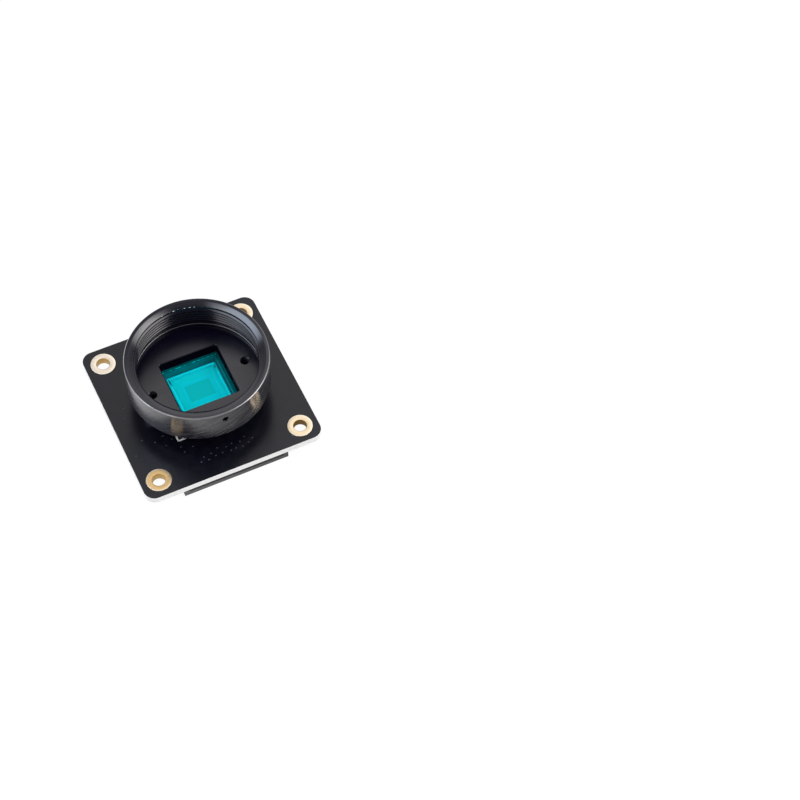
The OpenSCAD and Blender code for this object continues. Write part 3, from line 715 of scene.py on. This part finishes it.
def build_lens_mount():
    """The turned and milled mount: cup, neck, window, pocket and holes."""
    wall = soft_outline([
        (0, BASE_Z), (BASE_R, BASE_Z), (BASE_R, SKIRT_Z), (MOUNT_R - SKIRT_CHAMFER, SKIRT_Z),
        (MOUNT_R, SKIRT_Z + SKIRT_CHAMFER), (MOUNT_R, RIM_Z - RIM_CHAMFER), (MOUNT_R - RIM_CHAMFER, RIM_Z),
        (THREAD_R + ENTRY_W, RIM_Z), (THREAD_R, THREAD_TOP_Z), (THREAD_R, THREAD_LOW_Z),
        (GROOVE_R, THREAD_LOW_Z), (GROOVE_R, LIP_Z), (THREAD_R + LIP_CHAMFER, LIP_Z),
        (THREAD_R, LIP_Z - LIP_CHAMFER), (THREAD_R, FLOOR_Z), (0, FLOOR_Z),
    ], 0.06 * MM)
    # the two corners on the axis stay sharp
    wall = [Vector((0, BASE_Z))] + wall[5:-5] + [Vector((0, FLOOR_Z))]
    bm = bmesh.new()
    lathe(bm, wall, 288)
    cup = to_object(bm, "lens_mount_body")

    bm = bmesh.new()
    prism(bm, [(round_rect(NECK_HALF, NECK_HALF, NECK_CORNER), MOUNT_LOW.z),
               (round_rect(NECK_HALF, NECK_HALF, NECK_CORNER), BASE_Z + OVERLAP)])
    combine(cup, to_object(bm, "neck"), "UNION")
    for side in (-1, 1):
        bm = bmesh.new()
        ear = round_rect(SCREW_X / 2 + EAR_R, EAR_R, EAR_R * 0.999, 16, (side * SCREW_X / 2, 0))
        prism(bm, [(ear, MOUNT_LOW.z), (ear, BASE_Z + 0.4 * MM)])
        combine(cup, to_object(bm, "ear"), "UNION")

    bm = bmesh.new()
    opening = round_rect(WINDOW_HALF, WINDOW_HALF, WINDOW_CORNER)
    flare = round_rect(WINDOW_HALF + 2 * WINDOW_CHAMFER, WINDOW_HALF + 2 * WINDOW_CHAMFER,
                       WINDOW_CORNER + 2 * WINDOW_CHAMFER)
    prism(bm, [(opening, SEAT_Z - OVERLAP), (opening, FLOOR_Z - WINDOW_CHAMFER),
               (flare, FLOOR_Z + WINDOW_CHAMFER)])
    combine(cup, to_object(bm, "window"), "DIFFERENCE")
    bm = bmesh.new()
    pocket = round_rect(POCKET_HALF, POCKET_HALF, 0.02 * MM, 1)
    below = MOUNT_LOW.z - 2 * OVERLAP
    prism(bm, [(pocket, below), (pocket, SEAT_Z)])
    combine(cup, to_object(bm, "pocket"), "DIFFERENCE")

    sink = 0.18 * MM
    for side in (-1, 1):
        bm = bmesh.new()
        lathe(bm, [(0, below), (TAP_R, below), (TAP_R, FLOOR_Z - sink),
                   (TAP_R + 2 * sink, FLOOR_Z + sink), (0, FLOOR_Z + sink)], 48, (side * SCREW_X, 0))
        combine(cup, to_object(bm, "tap"), "DIFFERENCE")
    # the lock screw's hole starts inside the ring and flares just under the outer wall
    inside, straight, mouth = 2.2 * MM, 2.1 * MM, 3.1 * MM
    bm = bmesh.new()
    lathe(bm, [(0, 0), (LOCK_R, 0), (LOCK_R, straight), (LOCK_R + 1 * MM, mouth), (0, mouth)], 48)
    bmesh.ops.transform(
        bm, verts=bm.verts,
        matrix=Matrix.Translation((0, -(MOUNT_R - inside), LOCK_Z)) @ Matrix.Rotation(TURN / 4, 4, "X"),
    )
    combine(cup, to_object(bm, "lock"), "DIFFERENCE")
    bm = bmesh.new()
    bm.from_mesh(cup.data)
    bmesh.ops.remove_doubles(bm, verts=bm.verts, dist=WELD)
    shade(bm)
    bm.to_mesh(cup.data)
    bm.free()
    place(cup, ANODISED, stands_for=["lens_mount"])
    # the milled walls of the window mirror almost nothing, a painted shade that keeps them black
    cup.data.materials.append(ANODISED_WINDOW_PAINTED_SHADE)
    for face in cup.data.polygons:
        in_window = max(abs(face.center.x), abs(face.center.y)) < WINDOW_HALF + 0.05 * MM
        if in_window and SEAT_Z - 0.01 * MM < face.center.z < FLOOR_Z and abs(face.normal.z) < 0.1:
            face.material_index = 1


def build_lens_thread():
    """The helical ridge inside the ring. It stops just below the lead-in cone."""
    # steps in a turn, and parts of a turn left out at the top and faded at the ends
    steps, short_of_cone, fade_in, fade_out = 160, 0.28, 0.12, 0.35
    turns = (THREAD_TOP_Z - THREAD_LOW_Z) / THREAD_PITCH - short_of_cone
    count = int(turns * steps)
    half_root, half_crest = 0.46 * THREAD_PITCH, 0.19 * THREAD_PITCH
    outer_edge, inner_edge = half_crest + 0.02 * MM, half_crest - 0.03 * MM
    bury, lift = 0.02 * MM, 0.02 * MM
    bm = bmesh.new()
    rings = []
    for i in range(count + 1):
        angle = TURN * i / steps
        z = THREAD_LOW_Z + THREAD_PITCH * (i / steps) + lift
        fade = min(1, i / (steps * fade_in), (count - i) / (steps * fade_out))
        depth = THREAD_DEPTH * max(fade, 0.02)
        ring = []
        for offset, inward in (
            (-half_root, -bury), (-outer_edge, depth * 0.94), (-inner_edge, depth),
            (inner_edge, depth), (outer_edge, depth * 0.94), (half_root, -bury),
        ):
            height = z + offset * max(fade, 0.1)
            r = min(THREAD_R - inward, THREAD_R + bury)
            ring.append(bm.verts.new((r * math.cos(angle), r * math.sin(angle), height)))
        rings.append(ring)
    for a, b in zip(rings, rings[1:]):
        for k in range(len(a)):
            j = (k + 1) % len(a)
            bm.faces.new([a[k], a[j], b[j], b[k]])
    bm.faces.new(rings[0])
    bm.faces.new(rings[-1][::-1])
    place(to_object(bm, "lens_thread", 50), ANODISED_THREAD)


def specks(name, headings, smallest, material):
    """Specks along the edge where the lead-in cone meets the bore."""
    bm = bmesh.new()
    for i, heading in enumerate(headings):
        wobble = 0.5 + 0.5 * math.sin(i * 2.4)
        size = smallest + 0.05 * wobble * MM
        angle = math.radians(heading)
        r = THREAD_R - 0.02 * MM
        centre = Vector((r * math.cos(angle), r * math.sin(angle), THREAD_TOP_Z - 0.04 * wobble * MM))
        start = len(bm.verts)
        lathe(bm, [(0, -size), (size, -size * 0.3), (size * 0.8, size * 0.5), (0, size * 0.9)], 6)
        bm.verts.ensure_lookup_table()
        stretch = Matrix.Diagonal((1, 1 + 2 * wobble, 1, 1))
        bmesh.ops.transform(bm, verts=bm.verts[start:],
                            matrix=Matrix.Translation(centre) @ Matrix.Rotation(angle, 4, "Z") @ stretch)
    place(to_object(bm, name, 30), material)


def build_burrs():
    """Bare metal specks at the far side, and black ragged metal on either side of them."""
    specks("thread_burrs", (70, 74, 75.5, 79, 85, 88.5, 89.5, 93, 101), 0.04 * MM, BURR)
    ragged = [-12 + 1.7 * i + 0.6 * math.sin(5.1 * i) for i in range(35)]
    ragged += [104 + 2.1 * i + 0.8 * math.sin(3.7 * i) for i in range(32)]
    specks("thread_ragged_edge", ragged, 0.05 * MM, ANODISED)


def build_tap_threads():
    """Fine ridges down the two screw holes in the floor."""
    bm = bmesh.new()
    pitch, depth, root, first, ridges = 0.4 * MM, 0.14 * MM, TAP_R + 0.01 * MM, 0.35 * MM, 6
    for side in (-1, 1):
        for step in range(ridges):
            z = FLOOR_Z - first - step * pitch
            lathe(bm, [(root, z - pitch / 2), (TAP_R - depth, z), (root, z + pitch / 2)],
                  32, (side * SCREW_X, 0))
    place(to_object(bm, "tap_threads", 30), ANODISED)


def square_bead(name, half, width, low, high, material):
    """A low bead that runs round a square."""
    bm = bmesh.new()
    loops = []
    shoulder, corner = high - 0.02 * MM, 0.25 * MM
    section = ((-0.5, low), (-0.5, shoulder), (-0.42, high), (0.42, high), (0.5, shoulder), (0.5, low))
    for grow, z in section:
        reach = half + grow * width
        loops.append([bm.verts.new((x, y, z)) for x, y in round_rect(reach, reach, corner, 5)])
    count = len(loops[0])
    for a, b in zip(loops, loops[1:] + loops[:1]):
        for i in range(count):
            j = (i + 1) % count
            bm.faces.new([a[i], a[j], b[j], b[i]])
    place(to_object(bm, name), material)


def build_sensor_seal():
    """The bead that seals the glass lid, and the glazed edge of the package round it."""
    square_bead("sensor_seal", COVER_HIGH.x + 0.09 * MM, 0.24 * MM,
                COVER_LOW.z - 0.02 * MM, COVER_LOW.z + 0.06 * MM, SEAL)
    square_bead("package_edge", PACKAGE_HIGH.x - 0.07 * MM, 0.2 * MM,
                PACKAGE_HIGH.z - 0.02 * MM, PACKAGE_HIGH.z + 0.05 * MM, GLUE)


def build_die_fill():
    """White fill from the edge of the die up to the top of the package."""
    gap, bend = 0.01 * MM, 0.12 * MM
    die_x, die_y, wall = DIE_HIGH.x, DIE_HIGH.y, CAVITY_HALF
    top = PACKAGE_HIGH.z - 0.04 * MM
    low = DIE_HIGH.z - 0.25 * MM
    loops = [
        (die_x + gap, die_y + gap, low),
        (die_x + gap, die_y + gap, DIE_HIGH.z - 0.02 * MM),
        ((die_x + wall) / 2, (die_y + wall) / 2, DIE_HIGH.z + 0.14 * MM),
        (wall - bend, wall - bend, top - bend),
        (wall - gap, wall - gap, top),
        (wall - gap, wall - gap, low),
    ]
    bm = bmesh.new()
    rings = [[bm.verts.new((x, y, z)) for x, y in round_rect(a, b, 0.05 * MM, 3)] for a, b, z in loops]
    count = len(rings[0])
    for inner, outer in zip(rings, rings[1:] + rings[:1]):
        for i in range(count):
            j = (i + 1) % count
            bm.faces.new([inner[i], inner[j], outer[j], outer[i]])
    place(to_object(bm, "die_fill", 60), CERAMIC)


def build_gasket_bead():
    """Uneven line of adhesive between the foam and the filter, at the far side of the window."""
    bm = bmesh.new()
    half = GASKET_INNER + 0.3 * MM
    thin, swelling, flatness = 0.015, 0.075, 0.3
    steps, sides = 90, 6
    rings = []
    for i in range(steps + 1):
        x = -half + 2 * half * i / steps
        swell = math.sin(i * 0.5) + math.sin(i * 0.83 + 1) + math.sin(i * 0.21 + 2)
        r = (thin + swelling * max(0, min(1, swell))) * MM
        ring = []
        for k in range(sides):
            angle = TURN * k / sides
            height = GASKET_HIGH.z + flatness * r * math.sin(angle)
            ring.append(bm.verts.new((x, half + r * math.cos(angle), height)))
        rings.append(ring)
    for a, b in zip(rings, rings[1:]):
        for k in range(sides):
            j = (k + 1) % sides
            bm.faces.new([a[k], a[j], b[j], b[k]])
    bm.faces.new(rings[0])
    bm.faces.new(rings[-1][::-1])
    place(to_object(bm, "gasket_adhesive", 60), GLUE)


# ---------- board ----------

def build_board():
    """The board with its edges just broken."""
    softened("pcb", "board", 0.03 * MM, MASK)


def build_plating():
    """Rolled rings of the mounting holes, with the barrel between them."""
    barrel_r = HOLE_R + 0.1 * MM
    profile = soft_outline([
        (HOLE_R, PLATING_LOW.z), (PAD_R, PLATING_LOW.z), (PAD_R, BOARD_BOTTOM),
        (barrel_r, BOARD_BOTTOM), (barrel_r, BOARD_TOP),
        (PAD_R, BOARD_TOP), (PAD_R, PLATING_HIGH.z), (HOLE_R, PLATING_HIGH.z),
    ], 0.03 * MM, 3)
    bm = bmesh.new()
    for sx in (-1, 1):
        for sy in (-1, 1):
            lathe(bm, profile, 96, (sx * HOLE_X, sy * HOLE_Y))
    place(to_object(bm, "hole_rings"), GOLD, stands_for=["hole_plating"])


def build_mask_openings():
    """The narrow bare ring between each gold ring and the solder mask."""
    bm = bmesh.new()
    inner, outer = PAD_R - 0.05 * MM, PAD_R + 0.2 * MM
    for sx in (-1, 1):
        for sy in (-1, 1):
            for z, out in ((BOARD_TOP, 1), (BOARD_BOTTOM, -1)):
                sunk, proud = z - out * 0.01 * MM, z + out * 0.006 * MM
                lathe(bm, [(inner, sunk), (outer, sunk), (outer, proud), (inner, proud)],
                      72, (sx * HOLE_X, sy * HOLE_Y))
    place(to_object(bm, "mask_openings"), BARE_RING)


def strip(bm, loop, low, high):
    """A flat patch of print."""
    prism(bm, [(loop, low), (loop, high)])


def on_each_side(bm, loop, low, high):
    """The same patch on all four sides of the middle."""
    for turn in range(4):
        start = len(bm.verts)
        strip(bm, loop, low, high)
        bm.verts.ensure_lookup_table()
        bmesh.ops.rotate(bm, verts=bm.verts[start:], cent=(0, 0, 0),
                         matrix=Matrix.Rotation(TURN / 4 * turn, 3, "Z"))


def build_print():
    """White print: the outline round the lens mount, a small triangle, and the frame round the sensor."""
    low, high = BOARD_TOP - 0.01 * MM, BOARD_TOP + 0.02 * MM
    bm = bmesh.new()
    reach, width, leg, half_line = 8.45 * MM, 0.15 * MM, 1.5 * MM, 0.17 * MM
    on_each_side(bm, round_rect(reach - leg, width / 2, width * 0.49, 4, (0, -reach)), low, high)
    # the small triangle at the outline's corner
    corner = Vector((-8.3 * MM, -8.42 * MM))
    for a, b in (((0, 0), (leg, 0)), ((0, 0), (0, leg)), ((0, leg), (leg, 0))):
        start, end = corner + Vector(a), corner + Vector(b)
        direction = (end - start).normalized()
        across = Vector((-direction.y, direction.x)) * half_line
        strip(bm, [start - across, end - across, end + across, start + across], low, high)
    out, inner = PACKAGE_HIGH.x + 0.38 * MM, PACKAGE_HIGH.x + 0.06 * MM
    on_each_side(bm, [(-out, -out), (out, -out), (inner, -inner), (-inner, -inner)], low, high)
    place(to_object(bm, "board_print"), PRINT)


def via_places():
    """Places of the tented vias on the board's front face, in mm."""
    return [
        (-12.6, -6.8), (-10.7, -6), (-10.9, -8.4), (-9.3, -7.4), (-6.1, -10.8), (-8.1, -11.3), (-8.3, -9.9),
        (-14.8, -5.3), (-17.2, -8.2), (-5.1, -14), (-6, -14.9), (-4.4, -15), (-3.5, -13.8), (-2.8, -14.7),
        (-1.9, -13.1), (-1.3, -14.6), (-0.2, -13.6), (0.4, -14.8), (1.1, -13.3), (1.5, -14.7), (2.8, -13.6),
        (2.9, -14.9), (4, -12.9), (4.3, -14.5), (5.4, -13.8), (16.2, 1.9), (16.9, -0.4), (-16, 1.2),
        (-15.3, 3.4),
    ]


def build_vias():
    """Tented vias: low domes of solder mask with a dimple in the middle."""
    # (radius, height over the board) in mm, from the dimple outwards
    dome = [(0.03, 0.01), (0.05, 0.018), (0.08, 0.03), (0.11, 0.032), (0.15, 0.02), (0.2, -0.01)]
    bm = bmesh.new()
    for x, y in via_places():
        for z, out in ((BOARD_TOP, 1), (BOARD_BOTTOM, -1)):
            profile = [(0, z + out * 0.008 * MM)] + [(r * MM, z + out * h * MM) for r, h in dome]
            lathe(bm, profile + [(0, z - out * 0.01 * MM)], 20, (x * MM, y * MM))
    place(to_object(bm, "tented_vias", 70), VIA)


def build_solder():
    """Solder fillets round the terminals on the underside."""
    wetted, widest = 0.55, 0.2 * MM
    bm = bmesh.new()
    for node in ("capacitor_terminals", "bulk_capacitor_terminals", "resistor_terminals",
                 "ferrite_bead_terminals", "socket_anchor_tabs"):
        for low, high in islands(node):
            centre = ((low.x + high.x) / 2, (low.y + high.y) / 2)
            half_x, half_y = (high.x - low.x) / 2, (high.y - low.y) / 2
            height = wetted * (high.z - low.z)
            flare = min(widest, height)
            sections = []
            for share, drop in ((1, -0.01 * MM), (0.4, 0.3 * height), (0.12, height)):
                grow = share * flare
                loop = round_rect(half_x + grow, half_y + grow, grow, 3, centre)
                sections.append((loop, BOARD_BOTTOM - drop))
            prism(bm, sections)
    place(to_object(bm, "solder_fillets", 60), SOLDER)


# ---------- carried-over nodes ----------

def dress_nodes():
    """The smaller pieces, each made from its own CAD node with rounded edges."""
    softened("mount_screws", "mount_screws_finish", 0.03 * MM, STEEL, flat_sides=False)
    softened("ir_filter", "ir_filter_pane", 0.08 * MM, FILTER_GLASS, segments=1)
    softened("filter_gasket", "filter_gasket_foam", 0.06 * MM, FOAM)
    softened("sensor_package", "sensor_package_body", 0.03 * MM, CERAMIC, segments=1)
    softened("sensor_die", "sensor_die_chip", 0.01 * MM, SILICON, segments=1)
    softened("sensor_cover_glass", "sensor_cover_pane", 0.06 * MM, COVER_GLASS, segments=1)
    softened("socket_housing", "socket_moulding", 0.04 * MM, IVORY)
    softened("socket_latch", "socket_latch_moulding", 0.05 * MM, LATCH, "latch")
    softened("socket_contacts", "socket_contact_springs", 0.02 * MM, CONTACT, segments=1)
    softened("socket_anchor_tabs", "socket_tabs", 0.04 * MM, TIN)
    softened("oscillator_base", "oscillator_body", 0.03 * MM, CERAMIC, segments=1)
    softened("oscillator_lid", "oscillator_cap", 0.05 * MM, LID)
    softened("regulator_bodies", "regulator_mouldings", 0.04 * MM, MOULD)
    softened("regulator_leads", "regulator_legs", 0.02 * MM, TIN, segments=1, sharper_than=60)
    softened("capacitors", "capacitor_bodies", 0.05 * MM, CHIP_TAN)
    softened("capacitor_terminals", "capacitor_ends", 0.07 * MM, TIN)
    softened("bulk_capacitors", "bulk_capacitor_bodies", 0.06 * MM, CHIP_TAN)
    softened("bulk_capacitor_terminals", "bulk_capacitor_ends", 0.09 * MM, TIN)
    softened("resistors", "resistor_bodies", 0.03 * MM, GLAZE)
    softened("resistor_terminals", "resistor_ends", 0.05 * MM, TIN)
    softened("ferrite_beads", "ferrite_bodies", 0.06 * MM, FERRITE)
    softened("ferrite_bead_terminals", "ferrite_ends", 0.07 * MM, TIN)


# ---------- stage ----------

CAMERA_AT = Vector((-72.574, -232.565, 365.626)) * MM
CAMERA_AIM = Vector((36.17, -18.09, 0)) * MM
CAMERA_ROLL = math.radians(-1.81)
CAMERA_LENS = 97.04


def build_camera():
    """The camera: above the module, a little to the left of its near side."""
    data = bpy.data.cameras.new("camera")
    data.lens = CAMERA_LENS
    data.sensor_width = 36
    data.clip_start, data.clip_end = 0.01, 10
    camera = bpy.data.objects.new("camera", data)
    bpy.context.scene.collection.objects.link(camera)
    view = (CAMERA_AIM - CAMERA_AT).normalized()
    camera.rotation_mode = "QUATERNION"
    turn = Matrix.Rotation(CAMERA_ROLL, 3, view)
    camera.rotation_quaternion = (turn @ view.to_track_quat("-Z", "Y").to_matrix()).to_quaternion()
    camera.location = CAMERA_AT
    bpy.context.scene.camera = camera


def softbox(name, heading, elevation, size, power, colour):
    """An area lamp aimed at the module from a heading and an elevation in degrees."""
    distance = 0.6
    data = bpy.data.lights.new(name, "AREA")
    data.shape = "RECTANGLE"
    data.size, data.size_y = size
    data.energy = power
    data.color = colour
    lamp = bpy.data.objects.new(name, data)
    bpy.context.scene.collection.objects.link(lamp)
    level = math.cos(math.radians(elevation))
    away = Vector((
        level * math.cos(math.radians(heading)), level * math.sin(math.radians(heading)),
        math.sin(math.radians(elevation)),
    ))
    lamp.location = away * distance
    lamp.rotation_mode = "QUATERNION"
    lamp.rotation_quaternion = (-away).to_track_quat("-Z", "Y")


def build_world():
    """Plain light for matt surfaces. Gloss sees white horizon, card behind, window left, softbox right."""
    matt_light, softbox_light = (0.62, 0.62, 0.63), (3.1, 3.0, 3.0)
    window_near, window_far = (3.3, 3.3, 3.5), (2.7, 3.25, 4.1)
    world = bpy.data.worlds.new("studio")
    bpy.context.scene.world = world
    world.use_nodes = True
    tree = world.node_tree
    direction = add(tree, "ShaderNodeTexCoord").outputs["Generated"]
    x, y, height = add(tree, "ShaderNodeSeparateXYZ", {0: direction}).outputs

    def panel(front_x, front_y, first, last, low, high):
        """1 between two headings in degrees, turned so that front is 0, and between two heights."""
        heading = maths(tree, "ARCTAN2", front_y, front_x)
        first, last, edge, soft = math.radians(first), math.radians(last), math.radians(5), 0.05
        sides = times(tree, spread(tree, heading, first - edge, first + edge),
                      spread(tree, heading, last - edge, last + edge, 1, 0))
        ends = times(tree, spread(tree, height, low - soft, low + soft),
                     spread(tree, height, high - soft, high + soft, 1, 0))
        return times(tree, sides, ends)

    back = -CAMERA_AT.normalized()
    back.z = -back.z
    side = Vector((back.y, -back.x, 0)).normalized()
    outer, inner = math.cos(math.radians(44)), math.cos(math.radians(30))
    card = times(tree, spread(tree, along(tree, direction, back), outer, inner),
                 spread(tree, along(tree, direction, side), -0.09, 0.05, 0.6, 1.15))
    haze = spread(tree, height, 0.4, 0.6, 0.4, 0.0)
    horizon = maths(tree, "MAXIMUM", spread(tree, height, 0.2, 0.36, 1.0, 0.0), haze)
    overhead = spread(tree, height, 0.9, 0.96, 0.03, 0.3)
    dim = maths(tree, "MAXIMUM", maths(tree, "MAXIMUM", card, horizon), overhead)
    left = panel(times(tree, x, -1), times(tree, y, -1), -45, 33, 0.55, 0.94)
    right = panel(x, y, -60, -7, 0.53, 0.88)
    window = blend_colour(tree, spread(tree, y, -0.2, 0.25), window_near, window_far)
    gloss = blend_colour(tree, right, blend_colour(tree, left, dim, window), softbox_light)
    paths = add(tree, "ShaderNodeLightPath").outputs
    plain = blend_colour(tree, paths["Is Glossy Ray"], matt_light, gloss)
    seen = maths(tree, "MAXIMUM", paths["Is Camera Ray"], paths["Is Transmission Ray"])
    background = tree.nodes["Background"]
    tree.links.new(blend_colour(tree, seen, plain, (1, 1, 1)), background.inputs["Color"])
    background.inputs["Strength"].default_value = 1


def build_stage():
    """The floor and the two lamps."""
    size, gap = 4.0, 0.02 * MM
    bm = bmesh.new()
    bmesh.ops.create_grid(bm, x_segments=2, y_segments=2, size=size,
                          matrix=Matrix.Translation((0, 0, CAD_BOX[0].z - gap)))
    floor = to_object(bm, "floor")
    floor.data.materials.append(white_floor())
    softbox("softbox_left", 160, 42, (0.5, 0.54), 1.6, (0.84, 0.92, 1))
    softbox("softbox_right", -25, 41, (0.46, 0.52), 2.0, (1, 0.985, 0.97))


build_camera()
build_world()
build_stage()
build_lens_mount()
build_lens_thread()
build_burrs()
build_tap_threads()
build_sensor_seal()
build_die_fill()
build_gasket_bead()
build_board()
build_plating()
build_mask_openings()
build_print()
build_vias()
build_solder()
dress_nodes()

bpy.context.scene.view_settings.view_transform = "Standard"
